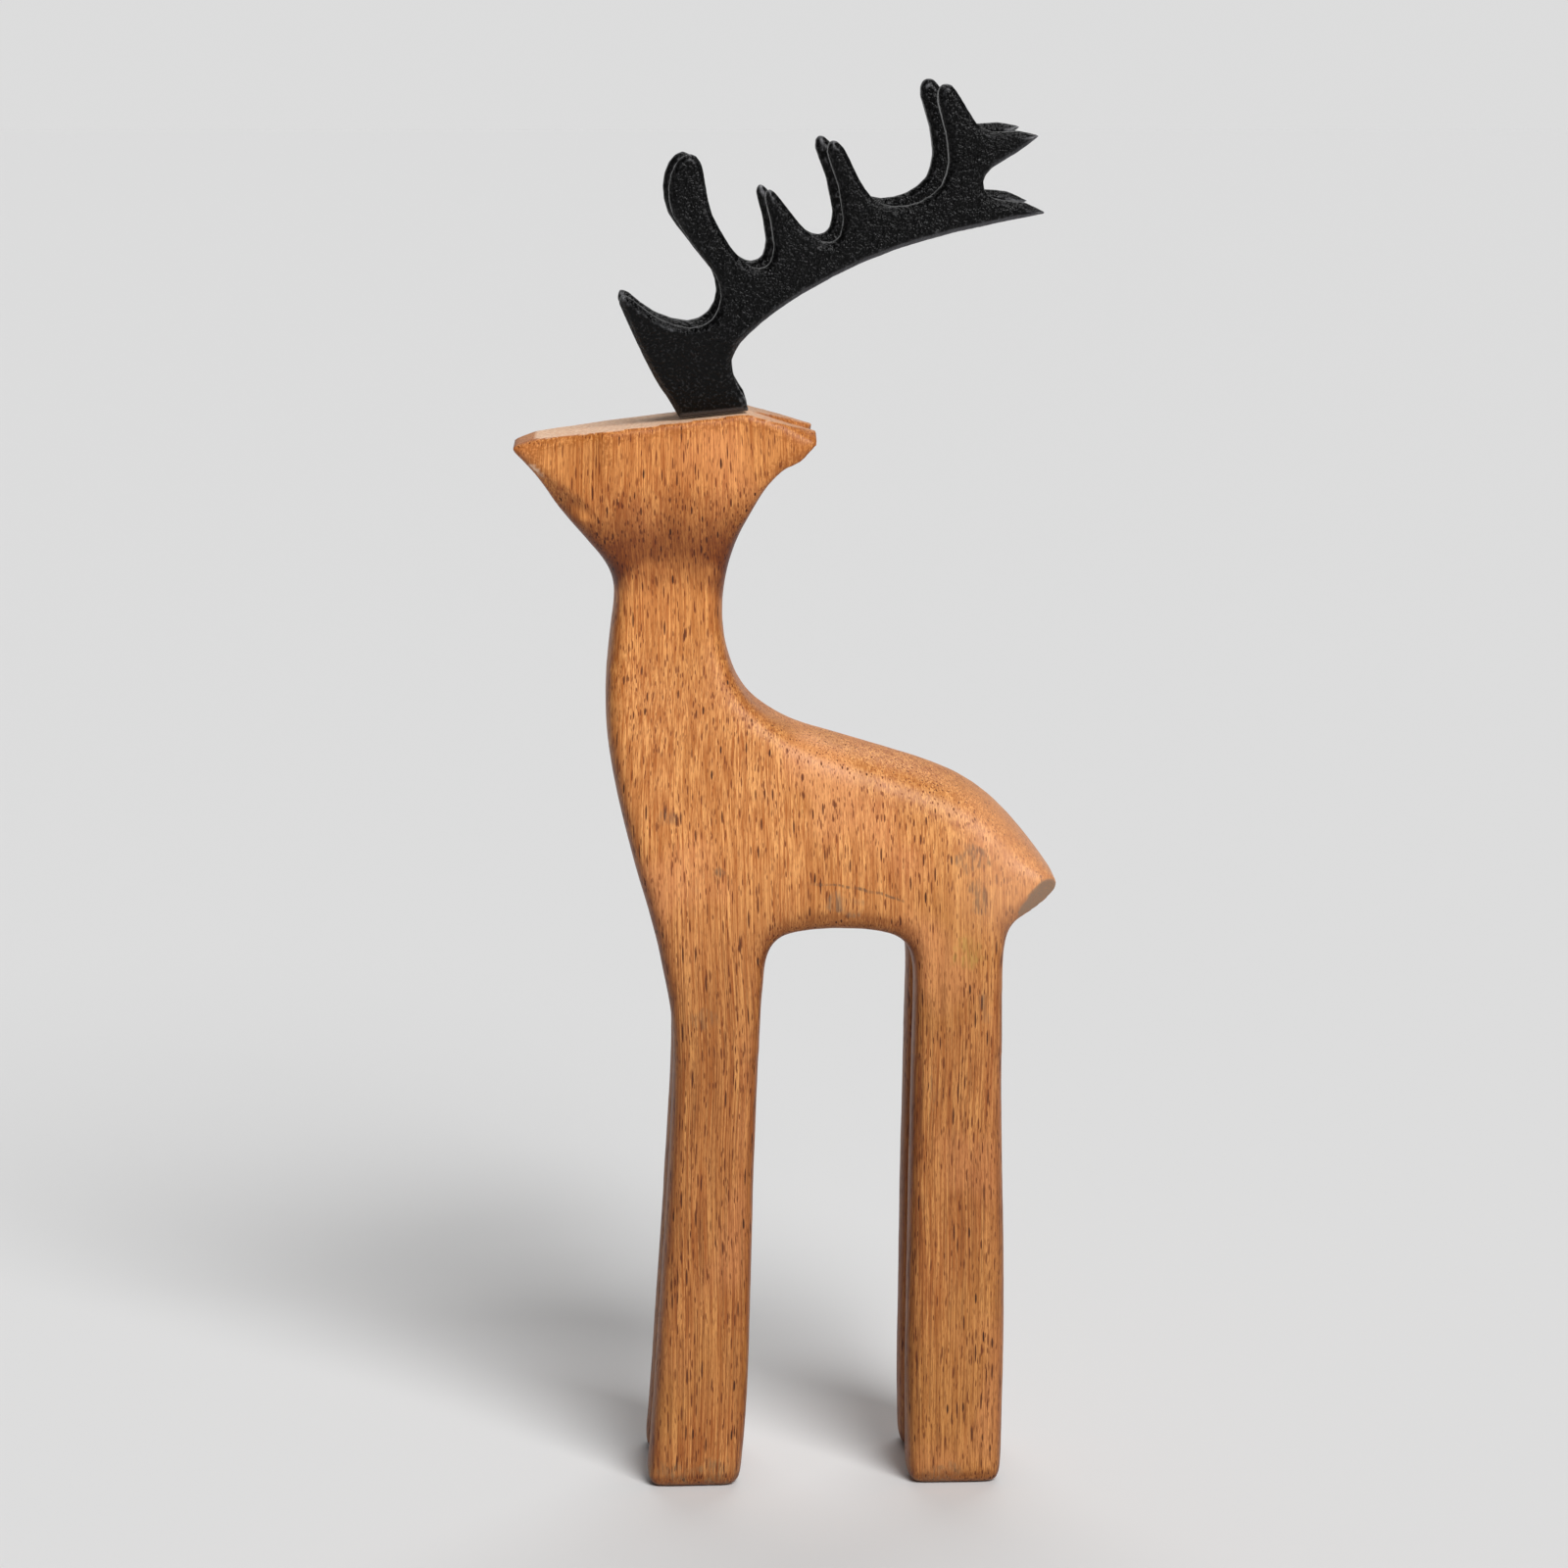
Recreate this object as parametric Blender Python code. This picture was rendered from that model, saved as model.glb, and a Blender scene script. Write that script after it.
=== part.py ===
"""Deer figurine: a deer sawn and carved from one plank of wood, with two flat cast-metal antlers on its head.

The deer looks along -X, its left side is -Y, +Z is up and the feet stand at z = 0.
Sizes and outline points are in millimetres, as (x, z) pairs in side view.
"""
import math

import bmesh
import bpy
from mathutils import Matrix, Vector

MM = 0.001

# Clearance left between pieces that touch
GAP = 0.3

# How far a cutting shape reaches past what it cuts
OVERSHOOT = 4.0

# Wood: half widths seen from the front
PLANK_HALF_WIDTH = 22.0
BREAST_HALF_WIDTH = 21.6
SHOULDER_HALF_WIDTH = 18.0
NECK_HALF_WIDTH = 13.5
JAW_HALF_WIDTH = 18.3
HEAD_HALF_WIDTH = 18.7

# Heights of those widths above the feet, and the depth of the jaw's width below the rear of the crown
LEG_TOP_HEIGHT = 140.0
BREAST_HEIGHT = 165.0
SHOULDER_HEIGHT = 200.0
NECK_HEIGHT = 233.0
JAW_DEPTH = 18.1

# Half widths seen from above: the snout is narrower than the ears, and the breast is rounded
SNOUT_HALF_WIDTH = 12.5
NOSE_HALF_WIDTH = 13.5
CHEEK_HALF_WIDTH = 17.6
CHEEK_X = -48.0
BREAST_FULL_X = -33.0

# Slot that parts the left legs from the right legs
SLOT_WIDTH = 14.0
SLOT_HEIGHT = 142.5

# Groove that parts the two ears, measured at the ear tips
EAR_GROOVE_WIDTH = 15.0
EAR_GROOVE_DEPTH = 17.0
EAR_GROOVE_START = -9.5
EAR_GROOVE_REACH = 12.0
EAR_GROOVE_RISE = 14.0

# Flat top of the head, and the slope that falls from it to the ear tips
CROWN_FRONT = (-61.5, 275.9)
CROWN_REAR = (-10.5, 282.1)
EAR_TOP = (8.0, 277.1)

# Side view of the wood, from the top of the nose down the chin and round to the ears
NOSE = [(-61.5, 276.5), (-67.0, 274.6), (-71.0, 273.2)]
CHIN = [(-71.0, 273.2), (-64.2, 266.2), (-58.8, 258.3), (-50.4, 248.2), (-46.3, 243.2), (-44.5, 239.4),
        (-44.1, 235.6)]
BREAST = [(-44.1, 235.6), (-46.1, 221.0), (-47.1, 206.0), (-45.3, 189.5), (-40.6, 168.7), (-34.7, 148.0),
          (-30.9, 129.0)]
FRONT_SHIN = [(-30.9, 129.0), (-30.0, 117.0), (-32.0, 79.0), (-35.6, 27.0), (-37.8, 0.0)]
FRONT_CALF = [(-12.9, 0.0), (-10.6, 29.0), (-9.2, 80.0), (-7.4, 124.0), (-6.4, 136.0)]
BELLY = [(-6.4, 136.0), (-5.7, 142.4), (-3.0, 146.8), (3.0, 148.3), (12.0, 148.9), (23.0, 148.2),
         (29.4, 146.4), (32.0, 142.0), (32.5, 136.0)]
HIND_SHIN = [(32.5, 136.0), (31.6, 95.0), (31.0, 55.0), (30.6, 24.0), (31.1, 0.0)]
HIND_CALF = [(56.1, 0.0), (56.9, 44.0), (55.7, 98.0), (55.6, 124.0), (55.7, 142.0), (57.2, 149.8)]
RUMP_UNDERSIDE = [(57.2, 149.8), (70.9, 159.4)]
BACK = [(70.9, 159.4), (68.6, 162.4), (60.2, 173.7), (52.0, 182.2), (39.5, 189.2), (12.8, 197.7),
        (0.0, 201.2)]
NAPE = [(0.0, 201.2), (-9.2, 206.6), (-14.6, 216.6), (-16.9, 231.0), (-14.2, 246.5), (-7.5, 260.3),
        (-1.6, 268.6), (5.8, 274.8)]

# Wood planed off the flats: little from the soles, so that they keep a rounded arris, and more from the crown
SOLE_ALLOWANCE = 0.7
CROWN_ALLOWANCE = 2.2

# Across the back the wood falls from the ridge to either side, and this runs out further down the flanks
BACK_DROP = 12.0
BACK_ROUNDNESS = 0.97
FLANK_DEPTH = 22.0
BACK_FRONT_BLEND_X = (-8, 8)
BACK_REAR_BLEND_X = (58, 72)

# Facets planed on the left and right corners under the rump and along the chin: two points x, half width, z on
# the facet's edge on the side face, and one point further in
RUMP_FACET_INSET = 6.0
RUMP_FACET = [(54.9, PLANK_HALF_WIDTH, 148.4), (65.6, PLANK_HALF_WIDTH, 163.0),
              (70.0, PLANK_HALF_WIDTH - RUMP_FACET_INSET, 160.8)]
CHIN_FACET = [(-70.1, NOSE_HALF_WIDTH, 272.6), (-55.6, 16.3, 262.7), (-60.5, 11.5, 260.6)]

# Boxes x, z and fading distance within which those facets are planed
RUMP_FACET_START = (54.5, 147.0)
RUMP_FACET_FADE = 2.0
CHIN_FACET_LOW_Z = 254.0
CHIN_FACET_FADE = 9.0

# Carving grid, and how many rounding passes each region of the wood gets on it
CARVING_GRID = 1.5
HEAD_PASSES = 3
NECK_PASSES = 26
BREAST_PASSES = 30
BACK_PASSES = 34
BELLY_PASSES = 20
LEG_PASSES = 12
FOOT_PASSES = 5
RUMP_TIP_PASSES = 8
WOOD_TRIANGLES = 5200

# Stretches of x or z over which the passes of one region blend into those of the next
FOOT_BLEND_Z = (2, 14)
BELLY_BLEND_Z = (120, 150)
BACK_BLEND_Z = (158, 180)
BACK_BLEND_X = (-12, 6)
RUMP_TIP_BLEND_X = (56, 68)
RUMP_TIP_BLEND_Z = (135, 145)
NECK_BLEND_Z = (205, 220)
HEAD_BLEND_Z = (236, 273)
EAR_BLEND_X = (-20, -10)
EAR_BLEND_Z = (250, 262)
NOSE_BLEND_X = (-58, -46)
BREAST_BLEND_X = (-32, -18)
BREAST_BLEND_Z = (135, 165)

# Steepest angles in degrees that are shaded as one smooth surface
WOOD_CREASE = 35
METAL_CREASE = 30

# Distance in metres within which a planing cut passes through a vertex
CUT_TOLERANCE = 1e-7

# Antlers: flat plates with a bevelled rim, folded outwards above the head
ANTLER_THICKNESS = 6.5
ANTLER_BEVEL = 1.3
TIP_BEVEL_SHARE = 0.7
BEVEL_GROWTH = 0.35
LEAST_MITRE = 0.6
ANTLER_SPREAD = 39.0
FOLD_POINT = (-16.0, 302.5)
FOLD_SLOPE = -0.4
FOLD_LEAN = 0.41
FOLD_ROUNDING = 3.0
FOLD_LEVELS = (-6, -3, -1, 1, 3, 6)

# The right antler sits a little further back and is turned up a little, being fitted by hand
RIGHT_ANTLER_SHIFT = 0.5
RIGHT_ANTLER_TURN = 1.3
ANTLER_SEAT = (-27.6, -10.1)

# Side view of an antler, from the front of its seat round to the back of it
BROW_FRONT = [(-30.5, 285.5), (-34.1, 291.0), (-39.2, 301.5), (-42.9, 310.0)]
BROW_TINE = [(-42.9, 310.0), (-42.2, 312.1), (-40.0, 311.4)]
BROW_VALLEY = [(-40.0, 311.4), (-33.5, 306.3), (-25.0, 303.7), (-19.3, 306.0), (-17.2, 311.5),
               (-18.4, 316.8)]
TALL_TINE = [(-18.4, 316.8), (-24.0, 324.2), (-29.2, 331.8), (-30.3, 338.5), (-28.6, 344.6), (-25.0, 347.2),
             (-22.2, 345.0), (-21.2, 340.0), (-19.4, 332.0), (-15.0, 324.2)]
FIRST_VALLEY = [(-15.0, 324.2), (-11.2, 320.0), (-7.8, 318.6), (-4.9, 320.0), (-3.9, 324.0)]
SECOND_TINE = [(-3.9, 324.0), (-4.9, 331.0), (-6.2, 336.4), (-5.0, 338.4), (-2.4, 336.0), (2.5, 329.8)]
SECOND_VALLEY = [(2.5, 329.8), (6.3, 326.3), (9.8, 325.1), (12.6, 326.6), (13.5, 331.0)]
THIRD_TINE = [(13.5, 331.0), (12.1, 339.5), (9.4, 347.4), (10.5, 350.5), (13.3, 348.8), (17.2, 341.2)]
THIRD_VALLEY = [(17.2, 341.2), (20.9, 336.0), (26.3, 334.0), (33.0, 335.3), (38.2, 339.2), (39.9, 345.0)]
FOURTH_TINE = [(39.9, 345.0), (39.2, 352.0), (37.0, 360.2), (37.7, 363.8), (40.3, 364.2), (43.1, 360.4),
               (46.9, 354.2)]
UPPER_POINT = [(46.9, 354.2), (50.8, 352.5), (57.0, 352.8), (62.6, 351.6)]
REAR_NOTCH = [(62.6, 351.6), (56.5, 347.0), (50.6, 343.6), (48.5, 340.2), (49.8, 336.7), (53.5, 335.6),
              (59.0, 335.0), (64.6, 332.3)]
BEAM_UNDERSIDE = [(64.6, 332.3), (50.0, 329.4), (34.5, 325.8), (18.5, 320.2), (3.5, 312.5), (-7.0, 305.2),
                  (-12.4, 300.0)]
SEAT_BACK = [(-12.4, 300.0), (-14.5, 295.6), (-13.5, 290.0), (-11.0, 285.6)]

# Corners closer than this to a bending line are bent there, so that no sliver is cut beside them
SNAP = 0.25

WOOD_COLOUR = (0.56, 0.27, 0.11, 1.0)
CAST_METAL_COLOUR = (0.02, 0.02, 0.022, 1.0)


def clear_scene():
    for item in list(bpy.data.objects):
        bpy.data.objects.remove(item, do_unlink=True)


def material(name, colour, roughness, metallic):
    made = bpy.data.materials.new(name)
    made.use_nodes = True
    shader = made.node_tree.nodes["Principled BSDF"]
    shader.inputs["Base Color"].default_value = colour
    shader.inputs["Roughness"].default_value = roughness
    shader.inputs["Metallic"].default_value = metallic
    return made


def smooth_curve(points, steps=3):
    """Catmull-Rom curve through the points, without its last point, where the next stretch starts."""
    knots = [Vector(point) for point in points]
    knots = [knots[0] * 2 - knots[1]] + knots + [knots[-1] * 2 - knots[-2]]
    curve = []
    for before, start, end, after in zip(knots, knots[1:], knots[2:], knots[3:]):
        for step in range(steps):
            t = step / steps
            along = (end - before) * t
            bend = (before * 2 - start * 5 + end * 4 - after) * t ** 2
            twist = (start * 3 - before - end * 3 + after) * t ** 3
            curve.append(start + (along + bend + twist) / 2)
    return curve


def crown_height(x):
    """Height of the head's flat top at x, on the line through its front and rear."""
    slope = (CROWN_REAR[1] - CROWN_FRONT[1]) / (CROWN_REAR[0] - CROWN_FRONT[0])
    return CROWN_FRONT[1] + slope * (x - CROWN_FRONT[0])


def new_object(name, mesh, look):
    made = bpy.data.objects.new(name, mesh)
    bpy.context.collection.objects.link(made)
    mesh.materials.append(look)
    return made


def prism(name, outline, axis, start, end, look):
    """Closed plate: an outline carried along the axis from start to end."""
    along = "XYZ".index(axis)
    bm = bmesh.new()
    rim = []
    for point in outline:
        place = [point[0], point[1]]
        place.insert(along, start)
        rim.append(bm.verts.new(Vector(place) * MM))
    face = bm.faces.new(rim)
    swept = bmesh.ops.extrude_face_region(bm, geom=[face])
    moved = [item for item in swept["geom"] if isinstance(item, bmesh.types.BMVert)]
    travel = Vector((0, 0, 0))
    travel[along] = (end - start) * MM
    bmesh.ops.translate(bm, verts=moved, vec=travel)
    bmesh.ops.recalc_face_normals(bm, faces=bm.faces)
    mesh = bpy.data.meshes.new(name)
    bm.to_mesh(mesh)
    bm.free()
    return new_object(name, mesh, look)


def as_cutter(item):
    item.hide_render = True
    item.display_type = "WIRE"
    return item


def side_outline():
    """Side view of the wood, with the flats raised or lowered by what is planed off later."""
    crown = [(x, z + CROWN_ALLOWANCE) for x, z in (EAR_TOP, CROWN_REAR)]
    outline = smooth_curve(NOSE) + smooth_curve(CHIN) + smooth_curve(BREAST) + smooth_curve(FRONT_SHIN)
    outline += [Vector((FRONT_SHIN[-1][0], -SOLE_ALLOWANCE)), Vector((FRONT_CALF[0][0], -SOLE_ALLOWANCE))]
    outline += smooth_curve(FRONT_CALF) + smooth_curve(BELLY) + smooth_curve(HIND_SHIN)
    outline += [Vector((HIND_SHIN[-1][0], -SOLE_ALLOWANCE)), Vector((HIND_CALF[0][0], -SOLE_ALLOWANCE))]
    outline += smooth_curve(HIND_CALF) + smooth_curve(RUMP_UNDERSIDE) + smooth_curve(BACK) + smooth_curve(NAPE)
    return outline + [Vector(point) for point in crown]


def front_outline():
    """Front view of the wood: straight legs and trunk, narrow neck and a wider head."""
    jaw_height = CROWN_REAR[1] - JAW_DEPTH
    widths = [(PLANK_HALF_WIDTH, -OVERSHOOT), (PLANK_HALF_WIDTH, LEG_TOP_HEIGHT),
              (BREAST_HALF_WIDTH, BREAST_HEIGHT), (SHOULDER_HALF_WIDTH, SHOULDER_HEIGHT),
              (NECK_HALF_WIDTH, NECK_HEIGHT), (JAW_HALF_WIDTH, jaw_height),
              (HEAD_HALF_WIDTH, CROWN_REAR[1] + OVERSHOOT)]
    right = smooth_curve(widths) + [Vector(widths[-1])]
    left = [Vector((-y, z)) for y, z in reversed(right)]
    return right + left


def top_outline():
    """View of the wood from above: a narrower snout, and a breast that is rounded from side to side."""
    full = PLANK_HALF_WIDTH + OVERSHOOT
    widths = [(CHIN[0][0] - OVERSHOOT, SNOUT_HALF_WIDTH), (CHIN[0][0], NOSE_HALF_WIDTH),
              (CHEEK_X, CHEEK_HALF_WIDTH), (BREAST_FULL_X, full), (BACK[0][0] + OVERSHOOT, full)]
    left = smooth_curve(widths) + [Vector(widths[-1])]
    right = [Vector((x, -y)) for x, y in reversed(left)]
    return left + right


def slot_outline():
    """Slot between left and right legs: straight sides and a half-round top."""
    radius = SLOT_WIDTH / 2
    turns = 8
    arch = []
    for step in range(turns + 1):
        angle = math.pi * step / turns
        arch.append(Vector((radius * math.cos(angle), SLOT_HEIGHT - radius + radius * math.sin(angle))))
    return arch + [Vector((-radius, -OVERSHOOT)), Vector((radius, -OVERSHOOT))]


def ear_groove(look):
    """Wedge that is narrow and shallow near the crown, and wide and deep at the ear tips."""
    rear_x = EAR_TOP[0] + EAR_GROOVE_REACH
    share = (rear_x - EAR_GROOVE_START) / (EAR_TOP[0] - EAR_GROOVE_START)
    half = EAR_GROOVE_WIDTH / 2 * share
    front_z = CROWN_REAR[1]
    rear_z = front_z + (EAR_TOP[1] - CROWN_REAR[1]) * share
    above = front_z + EAR_GROOVE_RISE
    bm = bmesh.new()
    corners = [(EAR_GROOVE_START, 0, front_z), (EAR_GROOVE_START, -half, above), (EAR_GROOVE_START, half, above),
               (rear_x, 0, rear_z - EAR_GROOVE_DEPTH * share), (rear_x, -half, rear_z), (rear_x, half, rear_z),
               (rear_x, -half, above), (rear_x, half, above)]
    bmesh.ops.convex_hull(bm, input=[bm.verts.new(Vector(corner) * MM) for corner in corners])
    bmesh.ops.recalc_face_normals(bm, faces=bm.faces)
    mesh = bpy.data.meshes.new("ear_groove")
    bm.to_mesh(mesh)
    bm.free()
    return new_object("ear_groove", mesh, look)


def boolean(target, other, operation):
    cut = target.modifiers.new(other.name, "BOOLEAN")
    cut.operation = operation
    cut.solver = "EXACT"
    cut.object = other


def evaluated_mesh(item):
    """The object's mesh with its modifiers applied, as a mesh of its own."""
    graph = bpy.context.evaluated_depsgraph_get()
    return bpy.data.meshes.new_from_object(item.evaluated_get(graph), depsgraph=graph)


def ramp(value, low, high):
    """0 below low, 1 above high, and an even blend in between."""
    share = min(max((value - low) / (high - low), 0.0), 1.0)
    return share * share * (3 - 2 * share)


def blend(first, second, share):
    return first + (second - first) * share


def rounding_passes(place):
    """How many rounding passes the wood gets at a point, which sets the radius of its edges there."""
    x = place.x / MM
    z = place.z / MM
    legs = blend(FOOT_PASSES, LEG_PASSES, ramp(z, *FOOT_BLEND_Z))
    trunk = blend(legs, BELLY_PASSES, ramp(z, *BELLY_BLEND_Z))
    breast = blend(trunk, BREAST_PASSES, ramp(z, *BREAST_BLEND_Z) * (1 - ramp(x, *BREAST_BLEND_X)))
    back = blend(breast, BACK_PASSES, ramp(z, *BACK_BLEND_Z) * ramp(x, *BACK_BLEND_X))
    tail = blend(back, RUMP_TIP_PASSES, ramp(x, *RUMP_TIP_BLEND_X) * ramp(z, *RUMP_TIP_BLEND_Z))
    neck = blend(tail, NECK_PASSES, ramp(z, *NECK_BLEND_Z))
    head = blend(neck, HEAD_PASSES, ramp(z, *HEAD_BLEND_Z))
    ends = max(ramp(x, *EAR_BLEND_X), 1 - ramp(x, *NOSE_BLEND_X))
    return blend(head, HEAD_PASSES, ramp(z, *EAR_BLEND_Z) * ends)


def round_over(bm):
    """Rounds the edges by moving each vertex towards its neighbours as often as its region asks."""
    wanted = {vert: rounding_passes(vert.co) for vert in bm.verts}
    for step in range(int(max(wanted.values()))):
        moving = [vert for vert, passes in wanted.items() if passes > step]
        bmesh.ops.smooth_vert(bm, verts=moving, factor=0.5, use_axis_x=True, use_axis_y=True,
                              use_axis_z=True)


def back_height(x):
    """Height of the back's ridge at x, in side view."""
    for rear, front in zip(BACK, BACK[1:]):
        if front[0] <= x <= rear[0]:
            return blend(front[1], rear[1], (x - front[0]) / (rear[0] - front[0]))
    return BACK[0][1] if x > BACK[0][0] else BACK[-1][1]


def round_back(bm):
    """Lets the back fall away to either side of its ridge."""
    for vert in bm.verts:
        x, y, z = vert.co / MM
        ridge = back_height(x)
        near = ramp(z, ridge - FLANK_DEPTH, ridge)
        along = ramp(x, *BACK_FRONT_BLEND_X) * (1 - ramp(x, *BACK_REAR_BLEND_X))
        share = min(abs(y) / PLANK_HALF_WIDTH * BACK_ROUNDNESS, 1.0)
        vert.co.z -= BACK_DROP * (1 - math.sqrt(1 - share ** 2)) * near * along * MM


def plane_corners(bm, facet, start_x, start_z, fade):
    """Planes a facet on the left and right corner of the wood, fading in above a height and behind a place."""
    for side in (-1, 1):
        first, second, inner = [Vector((x, side * half, z)) * MM for x, half, z in facet]
        normal = (second - first).cross(inner - first).normalized()
        if normal.z > 0:
            normal = -normal
        for vert in bm.verts:
            proud = (vert.co - first).dot(normal)
            if proud > 0 and vert.co.y * side > 0:
                behind = ramp(vert.co.x / MM, start_x, start_x + fade)
                above = ramp(vert.co.z / MM, start_z, start_z + fade)
                vert.co -= normal * proud * behind * above


def plane_flat(bm, point, normal):
    """Planes the wood flat at a point, and closes the cut."""
    geometry = bm.verts[:] + bm.edges[:] + bm.faces[:]
    cut = bmesh.ops.bisect_plane(bm, geom=geometry, dist=CUT_TOLERANCE, plane_co=point, plane_no=normal,
                                 clear_outer=True)
    rim = [item for item in cut["geom_cut"] if isinstance(item, bmesh.types.BMEdge)]
    filled = bmesh.ops.holes_fill(bm, edges=rim, sides=0)
    bmesh.ops.triangulate(bm, faces=filled["faces"])


def flat_normal(front, rear):
    """Upward normal of the plane that holds the side-view line from front to rear."""
    along = Vector(rear) - Vector(front)
    return Vector((-along.y, 0, along.x)).normalized()


def side_point(point):
    return Vector((point[0], 0, point[1])) * MM


def wooden_body():
    look = material("oiled_wood", WOOD_COLOUR, 0.5, 0.0)
    reach = PLANK_HALF_WIDTH + OVERSHOOT
    plank = prism("plank", side_outline(), "Y", -reach, reach, look)
    front = min(point.x for point in side_outline()) - reach
    rear = max(point.x for point in side_outline()) + reach
    boolean(plank, as_cutter(prism("front_view", front_outline(), "X", front, rear, look)), "INTERSECT")
    above = CROWN_REAR[1] + OVERSHOOT
    boolean(plank, as_cutter(prism("top_view", top_outline(), "Z", -OVERSHOOT, above, look)), "INTERSECT")
    boolean(plank, as_cutter(prism("leg_slot", slot_outline(), "X", front, rear, look)), "DIFFERENCE")
    grid = plank.modifiers.new("carving grid", "REMESH")
    grid.mode = "VOXEL"
    grid.voxel_size = CARVING_GRID * MM
    carved = evaluated_mesh(plank)
    bpy.data.objects.remove(plank, do_unlink=True)

    bm = bmesh.new()
    bm.from_mesh(carved)
    round_back(bm)
    round_over(bm)
    plane_corners(bm, RUMP_FACET, *RUMP_FACET_START, RUMP_FACET_FADE)
    plane_corners(bm, CHIN_FACET, CHIN[0][0] - CHIN_FACET_FADE, CHIN_FACET_LOW_Z, CHIN_FACET_FADE)
    bmesh.ops.triangulate(bm, faces=bm.faces)
    triangles = len(bm.faces)
    bm.to_mesh(carved)
    bm.free()
    body = new_object("wooden_body", carved, look)
    thinning = body.modifiers.new("thinning", "DECIMATE")
    thinning.ratio = min(1.0, WOOD_TRIANGLES / triangles)
    thinned = evaluated_mesh(body)
    body.modifiers.clear()

    bm = bmesh.new()
    bm.from_mesh(thinned)
    plane_flat(bm, side_point(CROWN_REAR), flat_normal(CROWN_FRONT, CROWN_REAR))
    plane_flat(bm, side_point(EAR_TOP), flat_normal(CROWN_REAR, EAR_TOP))
    plane_flat(bm, Vector((0, 0, 0)), Vector((0, 0, -1)))
    bmesh.ops.recalc_face_normals(bm, faces=bm.faces)
    bm.to_mesh(thinned)
    bm.free()
    body.data = thinned
    boolean(body, as_cutter(ear_groove(look)), "DIFFERENCE")
    grooved = evaluated_mesh(body)
    body.modifiers.clear()

    bm = bmesh.new()
    bm.from_mesh(grooved)
    bmesh.ops.triangulate(bm, faces=bm.faces)
    bm.to_mesh(grooved)
    bm.free()
    body.data = grooved
    grooved.name = "wooden_body"
    grooved.shade_smooth()
    grooved.set_sharp_from_angle(angle=math.radians(WOOD_CREASE))
    return body


def antler_outline(shift, turn):
    """Side view of one antler, shifted and turned about its seat, with its foot cut to the crown."""
    stretches = [BROW_FRONT, BROW_TINE, BROW_VALLEY, TALL_TINE, FIRST_VALLEY, SECOND_TINE, SECOND_VALLEY,
                 THIRD_TINE, THIRD_VALLEY, FOURTH_TINE, UPPER_POINT, REAR_NOTCH, BEAM_UNDERSIDE, SEAT_BACK]
    outline = []
    for stretch in stretches:
        outline += smooth_curve(stretch, steps=2)
    outline.append(Vector(SEAT_BACK[-1]))
    middle = sum(ANTLER_SEAT) / 2
    seat = Vector((middle, crown_height(middle)))
    turning = Matrix.Rotation(math.radians(turn), 2)
    outline = [seat + Vector((shift, 0)) + turning @ (point - seat) for point in outline]
    for x in reversed(ANTLER_SEAT):
        outline.append(Vector((x + shift, crown_height(x + shift) + GAP)))
    return outline


def bevel_widths(outline):
    """Bevel width at each point: narrower round the tips, where the full width would meet itself."""
    widths = []
    runs = []
    for before, point, after in zip(outline[-1:] + outline[:-1], outline, outline[1:] + outline[:1]):
        turn = (point - before).angle_signed(after - point)
        run = ((point - before).length + (after - point).length) / 2
        radius = run / turn if turn > 0 else math.inf
        widths.append(min(ANTLER_BEVEL, TIP_BEVEL_SHARE * radius))
        runs.append((point - before).length)
    count = len(outline)
    for index in range(2 * count):
        here = index % count
        widths[here] = min(widths[here], widths[here - 1] + BEVEL_GROWTH * runs[here])
    for index in range(2 * count, 0, -1):
        here = index % count
        widths[here - 1] = min(widths[here - 1], widths[here] + BEVEL_GROWTH * runs[here])
    return widths


def moved_inwards(outline, widths):
    """The outline drawn in by its widths, with its sharp points drawn in no further than its sides allow."""
    drawn = []
    sides = zip(outline[-1:] + outline[:-1], outline, outline[1:] + outline[:1], widths)
    for before, point, after, width in sides:
        first = (point - before).normalized()
        second = (after - point).normalized()
        inward = Vector((first.y + second.y, -first.x - second.x)) / 2
        drawn.append(point + inward.normalized() * width / max(inward.length, LEAST_MITRE))
    return drawn


def fold_height(place):
    """Height of a point above the slanting line along which the antler is folded."""
    return place.z / MM - FOLD_POINT[1] - FOLD_SLOPE * (place.x / MM - FOLD_POINT[0])


def spread(height):
    """Distance of the antler's middle from the deer's middle plane: it leans out, then stands upright."""
    lean = (math.hypot(height, FOLD_ROUNDING) - height) / 2
    return ANTLER_SPREAD / 2 - FOLD_LEAN * lean


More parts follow.
